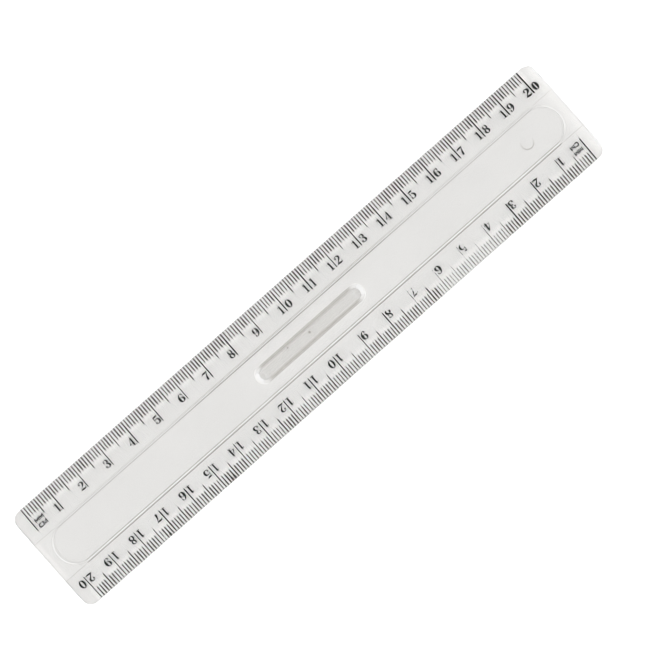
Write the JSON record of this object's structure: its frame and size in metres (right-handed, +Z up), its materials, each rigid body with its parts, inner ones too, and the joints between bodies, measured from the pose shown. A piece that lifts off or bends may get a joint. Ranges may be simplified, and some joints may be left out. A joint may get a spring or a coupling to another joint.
{
  "type": "clear plastic ruler",
  "caption": "Straight clear plastic ruler with two bevelled drawing edges, a printed centimetre and millimetre scale on each, a raised outline bead and a sunken finger grip.",
  "frame": {"origin": "centre of the underside, on the surface that the ruler lies on", "axes": "+X along the ruler, the way the rear scale counts up; +Y towards the rear drawing edge; +Z up, out of the printed face"},
  "size_m": [0.209, 0.036, 0.0026],
  "materials": {
    "clear_plastic": "clear polystyrene, polished, with light wear scratches",
    "black_ink": "hot-stamped black print"
  },
  "bodies": {
    "root": {"blade": "clear_plastic", "rear_scale_print": "black_ink", "front_scale_print": "black_ink"}
  },
  "joints": []
}
